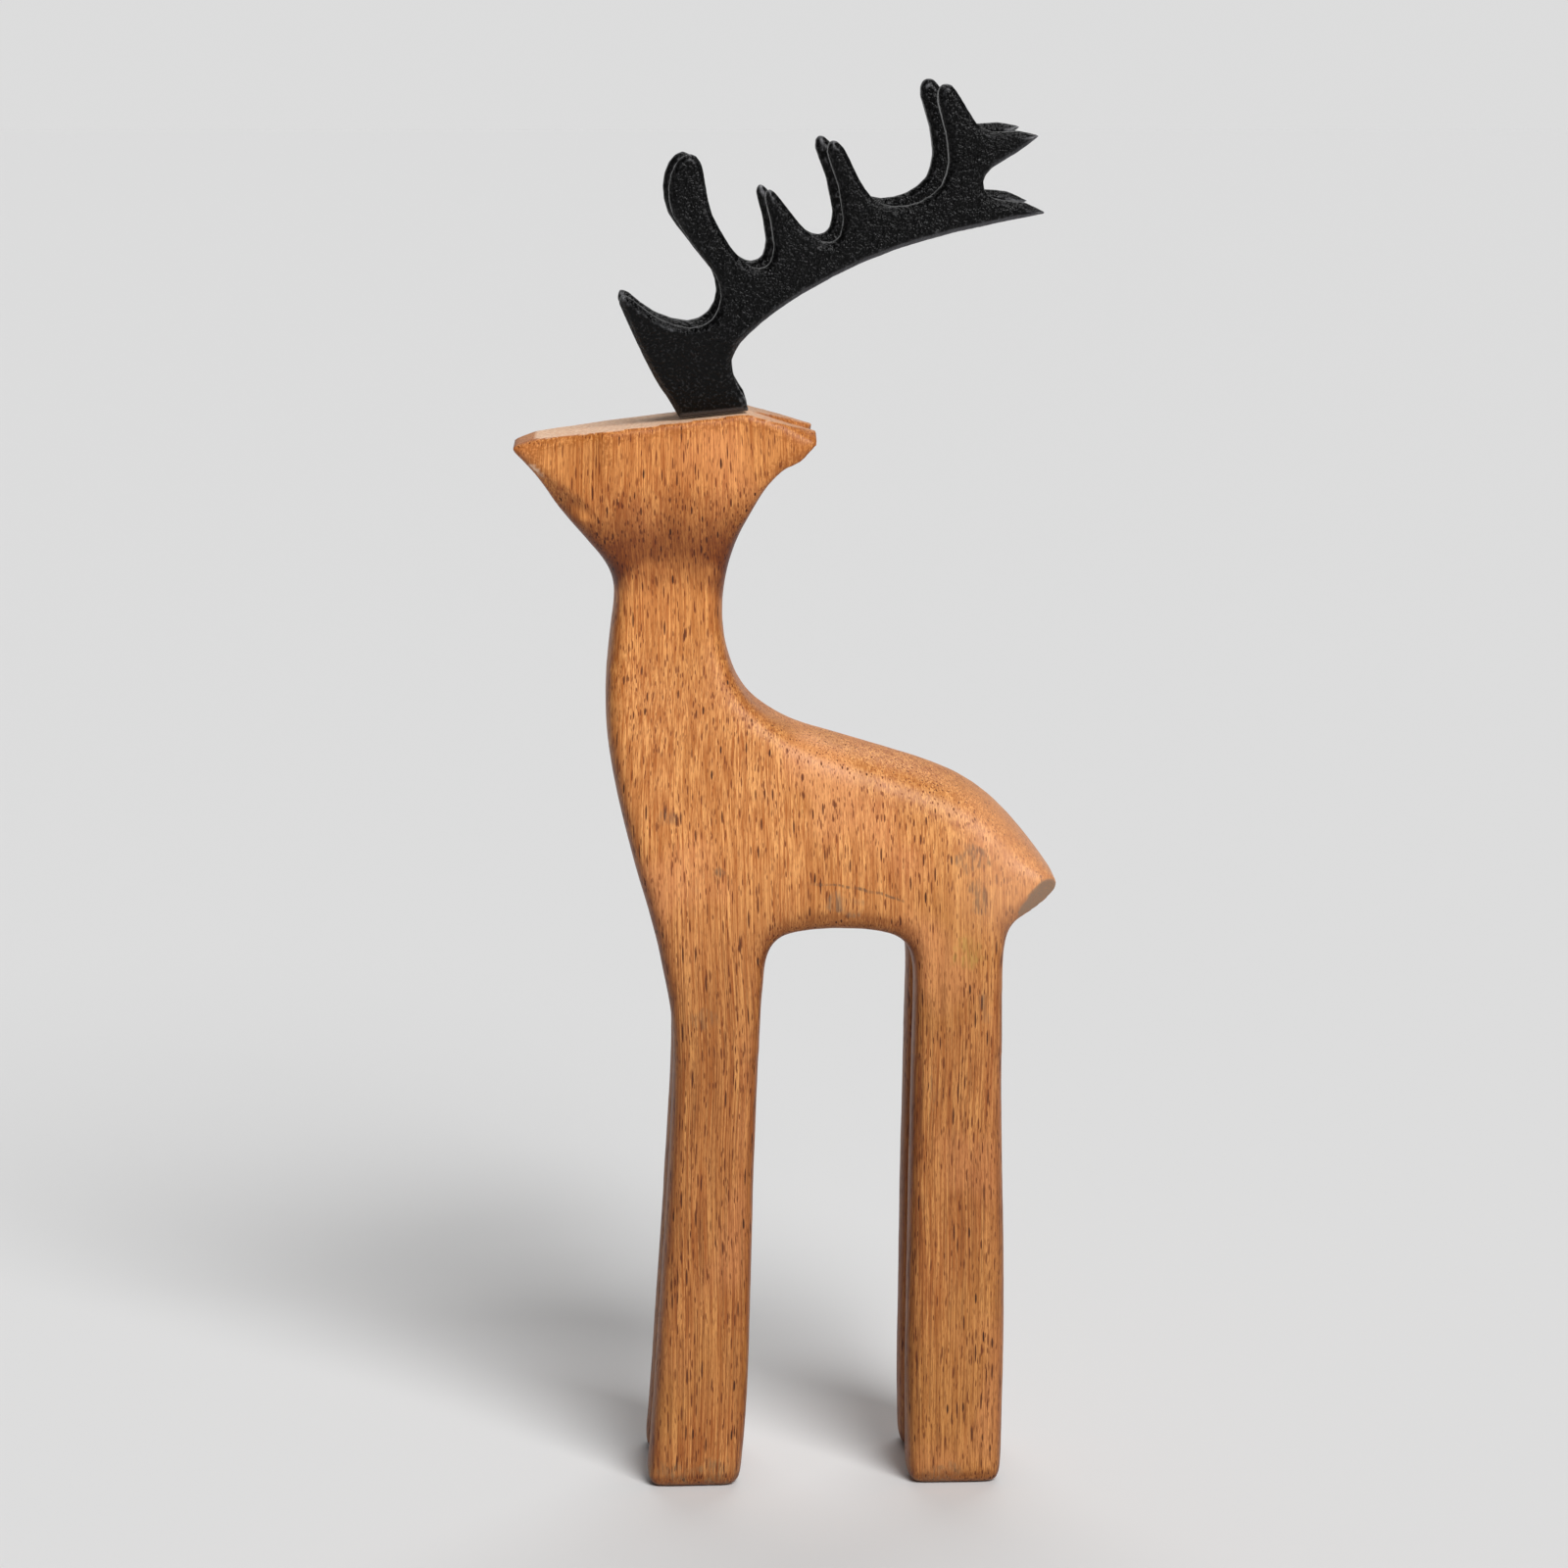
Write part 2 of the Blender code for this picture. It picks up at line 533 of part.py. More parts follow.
def antler(name, side, shift, turn, look):
    """One antler: a plate with bevelled rims, bent outwards. side is -1 for the left one and 1 for the right."""
    outline = antler_outline(shift, turn)
    inner = moved_inwards(outline, bevel_widths(outline))
    half = ANTLER_THICKNESS / 2
    layers = [(inner, -half), (outline, ANTLER_BEVEL - half), (outline, half - ANTLER_BEVEL), (inner, half)]
    bm = bmesh.new()
    rings = []
    for points, y in layers:
        rings.append([bm.verts.new(Vector((point.x, y, point.y)) * MM) for point in points])
    for lower, upper in zip(rings, rings[1:]):
        for index, vert in enumerate(lower):
            bm.faces.new((lower[index - 1], vert, upper[index], upper[index - 1]))
    caps = [bm.faces.new(rings[0]), bm.faces.new(rings[-1])]
    bmesh.ops.recalc_face_normals(bm, faces=bm.faces)
    bmesh.ops.triangulate(bm, faces=caps)

    fold_normal = Vector((-FOLD_SLOPE, 0, 1))
    for height in FOLD_LEVELS:
        geometry = bm.verts[:] + bm.edges[:] + bm.faces[:]
        level = Vector((FOLD_POINT[0], 0, FOLD_POINT[1] + height)) * MM
        bmesh.ops.bisect_plane(bm, geom=geometry, dist=SNAP * MM, plane_co=level, plane_no=fold_normal)
    for vert in bm.verts:
        vert.co.y += side * spread(fold_height(vert.co)) * MM
    bmesh.ops.triangulate(bm, faces=bm.faces)
    bmesh.ops.recalc_face_normals(bm, faces=bm.faces)
    mesh = bpy.data.meshes.new(name)
    bm.to_mesh(mesh)
    bm.free()
    mesh.shade_smooth()
    mesh.set_sharp_from_angle(angle=math.radians(METAL_CREASE))
    return new_object(name, mesh, look)


def centre_on_feet(items):
    """Moves the pieces together so that the middle of their bounding box stands over the origin."""
    places = [vert.co for item in items for vert in item.data.vertices]
    for axis in (0, 1):
        middle = (min(place[axis] for place in places) + max(place[axis] for place in places)) / 2
        for item in items:
            for vert in item.data.vertices:
                vert.co[axis] -= middle


def main():
    clear_scene()
    body = wooden_body()
    cast_metal = material("black_cast_metal", CAST_METAL_COLOUR, 0.4, 0.0)
    left = antler("antler_left", -1, 0.0, 0.0, cast_metal)
    right = antler("antler_right", 1, RIGHT_ANTLER_SHIFT, RIGHT_ANTLER_TURN, cast_metal)
    centre_on_feet([body, left, right])


main()
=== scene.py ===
"""Looks of the deer figurine: a deer sawn and carved from one plank, with two flat cast-metal antlers."""
import math

import bmesh
import bpy
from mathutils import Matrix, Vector, noise


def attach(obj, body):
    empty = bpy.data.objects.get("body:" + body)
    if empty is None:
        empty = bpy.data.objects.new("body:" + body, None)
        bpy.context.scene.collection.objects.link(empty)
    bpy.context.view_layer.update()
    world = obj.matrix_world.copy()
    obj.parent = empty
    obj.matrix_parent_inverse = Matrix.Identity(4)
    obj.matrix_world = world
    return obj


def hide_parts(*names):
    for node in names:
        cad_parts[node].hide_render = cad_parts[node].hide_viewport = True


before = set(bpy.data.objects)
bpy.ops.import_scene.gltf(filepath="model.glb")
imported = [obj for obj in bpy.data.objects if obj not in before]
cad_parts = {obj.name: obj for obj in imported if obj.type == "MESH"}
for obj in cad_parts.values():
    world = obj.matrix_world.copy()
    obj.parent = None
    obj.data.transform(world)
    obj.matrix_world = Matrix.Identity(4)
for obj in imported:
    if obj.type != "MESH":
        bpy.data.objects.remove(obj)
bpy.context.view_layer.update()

# Photographer's set: a camera a little over a metre from the deer's left side, looking slightly down
# through a long lens, a pale floor that runs out of sight, and a room that is dark but for the pale wall
# behind the deer. Two soft lamps shine down, one from the camera's side and one from the far side.
MM = 0.001
CAMERA_PLACE = Vector((-47.98, -1083.9, 365.6)) * MM
CAMERA_PITCH = math.radians(9.5)
CAMERA_YAW = math.radians(2.53)
LENS = 96.75
SENSOR = 36.0
FLOOR_SIDE = 60.0
FLOOR_COLOUR = (0.72, 0.72, 0.72, 1.0)
FLOOR_ROUGHNESS = 0.9
HORIZON_COLOUR = (0.72, 0.72, 0.72, 1.0)
ZENITH_COLOUR = (0.24, 0.24, 0.24, 1.0)
ROOM_COLOUR = (0.07, 0.07, 0.07, 1.0)

# Heights on the sky between which the wall darkens, and the stretch over which it fades into the room
HORIZON_RISE = 0.06
ZENITH_RISE = 0.25
WALL_START = 0.1
WALL_FULL = 0.7

lens = bpy.data.cameras.new("long_lens")
lens.lens = LENS
lens.sensor_width = SENSOR
camera = bpy.data.objects.new("camera", lens)
bpy.context.collection.objects.link(camera)
aim = Vector((math.sin(CAMERA_YAW) * math.cos(CAMERA_PITCH), math.cos(CAMERA_YAW) * math.cos(CAMERA_PITCH),
              -math.sin(CAMERA_PITCH)))
camera.location = CAMERA_PLACE
camera.rotation_euler = aim.to_track_quat("-Z", "Y").to_euler()
bpy.context.scene.camera = camera
bpy.context.scene.view_settings.view_transform = "Standard"

sky = bpy.data.worlds.new("white_studio")
sky.use_nodes = True
sky_nodes = sky.node_tree.nodes
join = sky.node_tree.links.new
direction = sky_nodes.new("ShaderNodeTexCoord")
upward = sky_nodes.new("ShaderNodeSeparateXYZ")
shading = sky_nodes.new("ShaderNodeValToRGB")
shading.color_ramp.elements[0].position = HORIZON_RISE
shading.color_ramp.elements[0].color = HORIZON_COLOUR
shading.color_ramp.elements[1].position = ZENITH_RISE
shading.color_ramp.elements[1].color = ZENITH_COLOUR
backdrop = sky_nodes.new("ShaderNodeMapRange")
backdrop.inputs["From Min"].default_value = WALL_START
backdrop.inputs["From Max"].default_value = WALL_FULL
studio = sky_nodes.new("ShaderNodeMix")
studio.data_type = "RGBA"
studio.inputs[6].default_value = ROOM_COLOUR
join(direction.outputs["Generated"], upward.inputs[0])
join(upward.outputs["Z"], shading.inputs["Fac"])
join(upward.outputs["Y"], backdrop.inputs["Value"])
join(backdrop.outputs[0], studio.inputs[0])
join(shading.outputs["Color"], studio.inputs[7])
join(studio.outputs[2], sky_nodes["Background"].inputs["Color"])
bpy.context.scene.world = sky


def soft_sun(name, towards, angle, power):
    """A distant soft lamp that shines along a direction and lights the floor evenly."""
    light = bpy.data.lights.new(name, "SUN")
    light.angle = math.radians(angle)
    light.energy = power
    made = bpy.data.objects.new(name, light)
    bpy.context.collection.objects.link(made)
    made.rotation_euler = Vector(towards).to_track_quat("-Z", "Y").to_euler()


soft_sun("key", towards=(-0.36, 0.80, -0.76), angle=30.0, power=3.15)
soft_sun("back", towards=(-0.1, -0.7, -0.9), angle=40.0, power=0.9)

bm = bmesh.new()
bmesh.ops.create_grid(bm, x_segments=1, y_segments=1, size=FLOOR_SIDE / 2)
floor_mesh = bpy.data.meshes.new("floor")
bm.to_mesh(floor_mesh)
bm.free()
floor = bpy.data.objects.new("floor", floor_mesh)
bpy.context.collection.objects.link(floor)
floor_finish = bpy.data.materials.new("white_floor")
floor_finish.use_nodes = True
floor_finish.node_tree.nodes["Principled BSDF"].inputs["Base Color"].default_value = FLOOR_COLOUR
floor_finish.node_tree.nodes["Principled BSDF"].inputs["Roughness"].default_value = FLOOR_ROUGHNESS
floor_mesh.materials.append(floor_finish)


# Wooden body: one plank of open-pored orange-brown hardwood, sawn to the deer's outline, rounded with
# rasp and sandpaper and lightly oiled. The grain runs straight up through legs, neck and head.
class Wire:
    """One output of a material's nodes: arithmetic on it adds Math nodes, and add() any other node."""

    def __init__(self, socket):
        self.socket = socket
        self.tree = socket.id_data

    def add(self, kind, settings, inputs, output=0):
        """Adds a node with its settings first and then its inputs, and returns one of its outputs."""
        node = self.tree.nodes.new(kind)
        for name, value in settings.items():
            setattr(node, name, value)
        for name, value in inputs.items():
            if isinstance(value, Wire):
                self.tree.links.new(value.socket, node.inputs[name])
            else:
                node.inputs[name].default_value = value
        return Wire(node.outputs[output])

    def math(self, operation, first, second=0.0):
        return self.add("ShaderNodeMath", {"operation": operation}, {0: first, 1: second})

    def __add__(self, other):
        return self.math("ADD", self, other)

    def __radd__(self, other):
        return self.math("ADD", other, self)

    def __sub__(self, other):
        return self.math("SUBTRACT", self, other)

    def __rsub__(self, other):
        return self.math("SUBTRACT", other, self)

    def __mul__(self, other):
        return self.math("MULTIPLY", self, other)

    def rise(self, low, high):
        """0 below low, 1 above high, with a soft step between them."""
        return self.add("ShaderNodeMapRange", {"interpolation_type": "SMOOTHSTEP"},
                        {"Value": self, "From Min": low, "From Max": high})

    def towards(self, colour, share):
        """This colour mixed with another by a share from 0 to 1."""
        return self.add("ShaderNodeMix", {"data_type": "RGBA"}, {0: share, 6: self, 7: colour}, output=2)

    def stain_and_shade(self, colour, share):
        """This colour multiplied by another by a share, so that its pattern stays visible: a see-through
        stain, and painted shade.
        """
        return self.add("ShaderNodeMix", {"data_type": "RGBA", "blend_type": "MULTIPLY"},
                        {0: share, 6: self, 7: colour}, output=2)

    def part(self, axis):
        """One of the numbers of a vector: 0, 1 or 2."""
        return self.add("ShaderNodeSeparateXYZ", {}, {0: self}, output=axis)

    def clouds(self, patch, seed, detail=2.0, roughness=0.5):
        """Cloudy pattern from 0 to 1 at this place, with patches of the given three sizes in millimetres."""
        spread = self.add("ShaderNodeVectorMath", {"operation": "DIVIDE"}, {0: self, 1: patch})
        return self.add("ShaderNodeTexNoise", {"noise_dimensions": "4D"},
                        {"Vector": spread, "W": seed, "Scale": 1.0, "Detail": detail, "Roughness": roughness})

    def cells(self, size):
        """Distance from the nearest of many scattered points, and that point's own random number."""
        place = self.add("ShaderNodeVectorMath", {"operation": "DIVIDE"}, {0: self, 1: size})
        near = self.add("ShaderNodeTexVoronoi", {"feature": "F1"},
                        {"Vector": place, "Scale": 1.0, "Randomness": 1.0})
        lot = Wire(near.socket.node.outputs["Color"])
        return near, lot.part(0)


def new_finish(name):
    """A material, the sockets of its shader, and the place on the object in millimetres."""
    finish = bpy.data.materials.new(name)
    finish.use_nodes = True
    shader = finish.node_tree.nodes["Principled BSDF"]
    metres = Wire(finish.node_tree.nodes.new("ShaderNodeTexCoord").outputs["Object"])
    place = metres.add("ShaderNodeVectorMath", {"operation": "SCALE"}, {0: metres, 3: 1.0 / MM})
    return finish, shader, place


def feed(shader, name, wire):
    wire.tree.links.new(wire.socket, shader.inputs[name])


def remeshed(node, name, voxel):
    """A copy of a CAD solid, meshed anew in even little squares."""
    bm = bmesh.new()
    bm.from_mesh(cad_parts[node].data)
    bmesh.ops.remove_doubles(bm, verts=bm.verts, dist=1e-6)
    coarse = bpy.data.meshes.new("coarse")
    bm.to_mesh(coarse)
    bm.free()
    item = bpy.data.objects.new("coarse", coarse)
    bpy.context.collection.objects.link(item)
    grid = item.modifiers.new("grid", "REMESH")
    grid.mode = "VOXEL"
    grid.voxel_size = voxel * MM
    graph = bpy.context.evaluated_depsgraph_get()
    fine = bpy.data.meshes.new_from_object(item.evaluated_get(graph), depsgraph=graph)
    bpy.data.objects.remove(item, do_unlink=True)
    fine.name = name
    return fine


def smooth(bm, verts, passes):
    for step in range(passes):
        bmesh.ops.smooth_vert(bm, verts=verts, factor=0.5, use_axis_x=True, use_axis_y=True, use_axis_z=True)


def note_edges(bm, passes, reach):
    """Writes how far each vertex stands proud of its smoothed surroundings, as the attribute edge."""
    layer = bm.verts.layers.float.new("edge")
    bm.normal_update()
    places = [vert.co.copy() for vert in bm.verts]
    normals = [vert.normal.copy() for vert in bm.verts]
    smooth(bm, bm.verts, passes)
    for vert, place, normal in zip(bm.verts, places, normals):
        vert[layer] = (place - vert.co).dot(normal) / (reach * MM)
        vert.co = place


def note_facing(bm):
    """Writes how far each vertex faces up, and how far it faces forwards or back, as tilt and endways."""
    tilt = bm.verts.layers.float.new("tilt")
    endways = bm.verts.layers.float.new("endways")
    bm.normal_update()
    for vert in bm.verts:
        vert[tilt] = vert.normal.z
        vert[endways] = abs(vert.normal.x)


def plane_facet(bm, corners, side, upward, low, fade=0.1):
    """Planes one side of the wood down to the plane through three points, above and behind the point low.

    The points give x, the distance from the middle plane, and z in millimetres. The cut deepens over the
    height fade, and the attribute planed is 1 where it is full.
    """
    first, second, third = [Vector((x, side * y, z)) * MM for x, y, z in corners]
    normal = (second - first).cross(third - first).normalized()
    if (normal.z > 0) != upward:
        normal = -normal
    layer = bm.verts.layers.float["planed"]
    for vert in bm.verts:
        proud = (vert.co - first).dot(normal)
        if vert.co.x > low[0] * MM and vert.co.z > low[1] * MM and vert.co.y * side >= 0 and proud > 0:
            share = min((vert.co.z / MM - low[1]) / fade, 1.0)
            vert.co -= normal * proud * share
            vert[layer] = share


def finished_piece(mesh, finish, node):
    """Puts a mesh in the scene in place of its CAD node, riding on the one body."""
    mesh.materials.clear()
    mesh.materials.append(finish)
    mesh.shade_smooth()
    piece = bpy.data.objects.new(mesh.name, mesh)
    bpy.context.collection.objects.link(piece)
    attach(piece, "root")
    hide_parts(node)


WOOD_GRID = 1.05

# Rounding passes of all the wood, the body below the head, the legs, and the legs below their tops
SURFACE_PASSES = 1
BODY_PASSES = 3
LEG_PASSES = 8
LOWER_LEG_PASSES = 14

# Heights, and the x where the rump's facets start, that bound those regions and the tool marks
SOLE_ARRIS = 2.0
LEG_TOP = 132.0
LOWER_LEG_TOP = 116.0
HEAD_START = 254.0
RUMP_START = 58.0
MARKS_START = 1.5
MARKS_END = 272.0

# Depth of the rasp's long waves and the sandpaper's short ones, and the length of each across and along
TOOL_MARKS = 0.10
SANDING_MARKS = 0.04
TOOL_WAVE_ACROSS = 16
TOOL_WAVE_ALONG = 30
SANDING_WAVE = 5

# How far a vertex is compared with its surroundings in the attribute edge: passes, and the full height
WOOD_EDGE_PASSES = 10
WOOD_EDGE_REACH = 0.5

# Flats of the head, and facets along the chin and under the rump: points x, distance from the middle and
# z, in millimetres
CROWN = [(-61.5, 0.0, 275.75), (-10.5, 0.0, 281.95), (-10.5, 10.0, 281.95)]
EARS = [(-10.5, 0.0, 281.95), (8.0, 0.0, 276.95), (8.0, 10.0, 276.95)]
RUMP = [(54.9, 22.0, 148.4), (65.4, 22.0, 163.0), (69.8, 16.0, 160.8)]
CHIN = [(-70.1, 13.0, 272.9), (-55.2, 16.2, 262.6), (-60.4, 11.2, 260.4)]

wood_mesh = remeshed("wooden_body", "carved_deer", WOOD_GRID)
bm = bmesh.new()
bm.from_mesh(wood_mesh)
smooth(bm, bm.verts, SURFACE_PASSES)
below_head = [vert for vert in bm.verts if SOLE_ARRIS * MM < vert.co.z < HEAD_START * MM]
smooth(bm, [vert for vert in below_head if vert.co.x < RUMP_START * MM], BODY_PASSES)
smooth(bm, [vert for vert in bm.verts if vert.co.z < LEG_TOP * MM], LEG_PASSES)
smooth(bm, [vert for vert in bm.verts if vert.co.z < LOWER_LEG_TOP * MM], LOWER_LEG_PASSES)
bm.normal_update()
for vert in bm.verts:
    if MARKS_START * MM < vert.co.z < MARKS_END * MM:
        across = (vert.co.x / (TOOL_WAVE_ACROSS * MM), vert.co.y / (TOOL_WAVE_ACROSS * MM))
        long_wave = noise.noise(Vector((*across, vert.co.z / (TOOL_WAVE_ALONG * MM))))
        short_wave = noise.noise(vert.co / (SANDING_WAVE * MM))
        vert.co += vert.normal * (TOOL_MARKS * long_wave + SANDING_MARKS * short_wave) * MM
bm.verts.layers.float.new("planed")
for side in (-1, 1):
    plane_facet(bm, CHIN, side, False, (-80.0, 254.0), 10.0)
    plane_facet(bm, RUMP, side, False, (54.0, 147.0), 1.0)
    plane_facet(bm, CROWN, side, True, (-80.0, 270.0))
    plane_facet(bm, EARS, side, True, (-11.0, 270.0))
note_edges(bm, WOOD_EDGE_PASSES, WOOD_EDGE_REACH)
note_facing(bm)
bm.to_mesh(wood_mesh)
bm.free()

# Colours of the grain, from its lines to its clouds and pores
DARK_LINE = (0.43, 0.125, 0.024, 1)
LIGHT_LINE = (0.90, 0.42, 0.138, 1)
WIDE_LINE = (0.42, 0.125, 0.022, 1)
BROWN_BAND = (0.46, 0.15, 0.03, 1)
YELLOW_CLOUD = (0.66, 0.32, 0.08, 1)
PINK_CLOUD = (0.86, 0.36, 0.15, 1)
FIBRE = (0.24, 0.06, 0.011, 1)
PORE_RIM = (0.17, 0.034, 0.005, 1)
PORE_DEPTH = (0.035, 0.011, 0.004, 1)

# Colours of single regions: painted shade on the faces that look down, on the faces that look forwards
# or back and on the legs, and freshly cut flats, the crown's paler tone partly a painted sheen
UNDER_HEAD_SHADE = (0.27, 0.155, 0.045, 1)
UNDER_BELLY_SHADE = (0.62, 0.54, 0.46, 1)
FRONT_AND_REAR_SHADE = (0.70, 0.62, 0.50, 1)
LEG_LINE = (0.17, 0.045, 0.008, 1)
LEGS_SHADE = (0.71, 0.67, 0.60, 1)
RUMP_PINK = (1.0, 0.50, 0.26, 1)
NECK_AND_HEAD = (1.0, 0.93, 0.84, 1)
CROWN_WOOD_AND_SHEEN = (0.93, 0.67, 0.48, 1)
CROWN_RIM = (0.36, 0.10, 0.014, 1)
SAWN_WOOD = (0.26, 0.18, 0.12, 1)

# Layers of pores: spacing in millimetres, half width and share of places left out, and strength
PORE_LAYERS = [
    ((0.95, 0.95, 9.0), 0.20, 0.15, 0.5),
    ((1.3, 1.3, 14.0), 0.17, 0.35, 0.8),
    ((0.7, 0.7, 4.5), 0.20, 0.3, 0.5),
    ((2.2, 2.2, 13.0), 0.11, 0.5, 1.0),
]

# Smudges on the near side: x, z, half width and half height in millimetres, colour and strength
SMUDGES = [
    (-19.1, 163.6, 2.8, 2.6, (0.07, 0.055, 0.04, 1), 0.6),
    (-24.0, 158.0, 1.6, 4.5, (0.12, 0.08, 0.05, 1), 0.35),
    (-31.0, 179.5, 2.6, 3.0, (0.14, 0.09, 0.06, 1), 0.3),
    (48.0, 168.0, 4.5, 3.5, (0.14, 0.10, 0.07, 1), 0.4),
    (49.5, 157.0, 2.6, 7.0, (0.12, 0.085, 0.06, 1), 0.4),
    (50.5, 128.0, 1.6, 6.0, (0.10, 0.07, 0.05, 1), 0.3),
    (46.3, 142.5, 4.5, 4.0, (0.42, 0.30, 0.06, 1), 0.25),
    (-22.0, 126.0, 4.0, 2.5, (0.14, 0.09, 0.05, 1), 0.25),
    (14.0, 156.0, 6.0, 3.0, (0.16, 0.11, 0.07, 1), 0.4),
    (37.6, 107.5, 1.5, 5.0, (0.12, 0.07, 0.04, 1), 0.3),
    (-14.0, 4.0, 8.0, 4.0, (0.20, 0.13, 0.06, 1), 0.35),
    (-33.0, 3.5, 7.0, 3.5, (0.18, 0.12, 0.06, 1), 0.35),
    (40.0, 3.0, 9.0, 3.0, (0.18, 0.12, 0.06, 1), 0.3),
]
SMUDGE_STRENGTH = 1.2

# A thin curved scratch on the flank, highest at its front end
SCRATCH_START = 6.0
SCRATCH_HEIGHT = 161.6
SCRATCH_BEND = 0.0088
SCRATCH_COLOUR = (0.12, 0.07, 0.04, 1)

wood, wood_shader, place = new_finish("oiled_hardwood")
edge = place.add("ShaderNodeAttribute", {"attribute_name": "edge"}, {}, output=2)
tilt = place.add("ShaderNodeAttribute", {"attribute_name": "tilt"}, {}, output=2)
endways = place.add("ShaderNodeAttribute", {"attribute_name": "endways"}, {}, output=2)
planed = place.add("ShaderNodeAttribute", {"attribute_name": "planed"}, {}, output=2)
x = place.part(0)
y = place.part(1)
z = place.part(2)

wander = place.add("ShaderNodeTexNoise", {}, {"Vector": place, "Scale": 0.012, "Detail": 1.0}, output=1)
drift = place.add("ShaderNodeVectorMath", {"operation": "MULTIPLY"}, {0: wander, 1: (6.0, 6.0, 0.0)})
grain_place = place.add("ShaderNodeVectorMath", {"operation": "ADD"}, {0: place, 1: drift})

bands = grain_place.clouds((6.0, 9.0, 90.0), 1.0, 2.0)
streaks = grain_place.clouds((0.34, 0.8, 30.0), 2.0, 2.0, 0.6)
wide_streaks = grain_place.clouds((1.6, 3.0, 30.0), 8.0, 2.0)
fibres = grain_place.clouds((0.24, 0.4, 2.2), 3.0, 1.0)
blotches = place.clouds((34.0, 34.0, 50.0), 4.0, 2.0)
pinkness = place.clouds((24.0, 24.0, 36.0), 5.0, 2.0)

base = place.add("ShaderNodeMix", {"data_type": "RGBA"},
                 {0: streaks.rise(0.33, 0.66), 6: DARK_LINE, 7: LIGHT_LINE}, output=2)
base = base.towards(WIDE_LINE, wide_streaks.rise(0.46, 0.64) * 0.5)
base = base.towards(BROWN_BAND, bands.rise(0.48, 0.68) * 0.35)
base = base.towards(YELLOW_CLOUD, blotches.rise(0.46, 0.66) * 0.32)
base = base.towards(PINK_CLOUD, pinkness.rise(0.48, 0.66) * 0.4)
base = base.towards(FIBRE, fibres.rise(0.50, 0.66) * 0.5)

crowding = place.clouds((9.0, 9.0, 20.0), 6.0, 2.0)
pores = crowding * 0
for size, far, chosen, strength in PORE_LAYERS:
    near, lot = grain_place.cells(size)
    dash = (1 - near.rise(far * 0.7, far * 1.3)) * (lot + (crowding - 0.5) * 1.4).rise(chosen, chosen + 0.15)
    pores = pores.math("MAXIMUM", pores, dash * strength)
base = base.towards(PORE_RIM, pores.rise(0.0, 0.5) * 0.9)
base = base.towards(PORE_DEPTH, pores.rise(0.5, 1.0) * 0.85)

downward = (0 - tilt).rise(0.02, 0.24)
above_belly = z.rise(170.0, 220.0)
# Painted shade: the faces that look down are darkened, strongly under the head and lightly under the belly
base = base.stain_and_shade(UNDER_HEAD_SHADE, downward * above_belly * (1 - z.rise(244.0, 266.0) * 0.8))
base = base.stain_and_shade(UNDER_BELLY_SHADE, downward * (1 - above_belly))
# Painted shade: faces that look forwards or back, as on the edges of the breast, neck and rump, are darkened
base = base.stain_and_shade(FRONT_AND_REAR_SHADE, endways.rise(0.15, 0.8))
legs = 1 - z.rise(115.0, 178.0)
leg_lines = grain_place.clouds((0.3, 0.6, 40.0), 7.0, 1.0)
base = base.towards(LEG_LINE, leg_lines.rise(0.53, 0.63) * legs * 0.5)
# Painted shade: the legs and the lower body are darkened, as the light falls off downwards
base = base.stain_and_shade(LEGS_SHADE, legs)
base = base.towards(RUMP_PINK, x.rise(36.0, 58.0) * z.rise(140.0, 160.0) * 0.3)
base = base.stain_and_shade(NECK_AND_HEAD, z.rise(205.0, 245.0))

near_side = 1 - y.rise(-18.0, -12.0)
smudge_shape = grain_place.clouds((0.6, 0.6, 8.0), 10.0, 2.0)
smudge_edge = place.clouds((4.0, 4.0, 4.0), 11.0, 1.0)
for mark_x, mark_z, half_width, half_height, colour, strength in SMUDGES:
    across = (x - mark_x) * (1.0 / half_width)
    along = (z - mark_z) * (1.0 / half_height)
    spread = across * across + along * along + (smudge_edge - 0.5) * 6.0
    smudge = (1 - spread.rise(0.0, 1.3)) * (0.2 + smudge_shape.rise(0.44, 0.60))
    base = base.towards(colour, smudge * near_side * (strength * SMUDGE_STRENGTH))
scratch_x = x - SCRATCH_START
scratch = z - (SCRATCH_HEIGHT - scratch_x * scratch_x * SCRATCH_BEND) + (smudge_edge - 0.5) * 1.5
scratch_ends = x.rise(4.0, 9.0) * (1 - x.rise(28.0, 31.0)) * near_side * smudge_shape.rise(0.35, 0.6)
scratch_line = 1 - scratch.math("ABSOLUTE", scratch).rise(0.15, 0.5)
base = base.towards(SCRATCH_COLOUR, scratch_line * scratch_ends * 0.7)

# The planed crown is paler: partly freshly planed wood and partly a painted sheen
crown = planed * z.rise(265.0, 268.0)
pale_speckle = grain_place.clouds((0.9, 0.9, 0.9), 12.0, 2.0).rise(0.35, 0.65)
crown_tone_and_sheen = base.towards(CROWN_WOOD_AND_SHEEN, 0.45 + pale_speckle * 0.45)
rim_speckle = place.clouds((0.8, 0.8, 0.8), 14.0, 2.0).rise(0.42, 0.58)
base = base.towards(CROWN_RIM, edge.rise(0.02, 0.3) * z.rise(262.0, 270.0) * rim_speckle * 0.6)
base = base.towards(crown_tone_and_sheen, crown * (1 - x.rise(-14.0, 2.0) * 0.6))
sawn = planed * (1 - z.rise(200.0, 210.0))
sawn_tone = place.clouds((0.5, 0.5, 0.5), 13.0, 2.0).rise(0.35, 0.65)
base = base.towards(SAWN_WOOD, sawn * (0.6 + sawn_tone * 0.3))

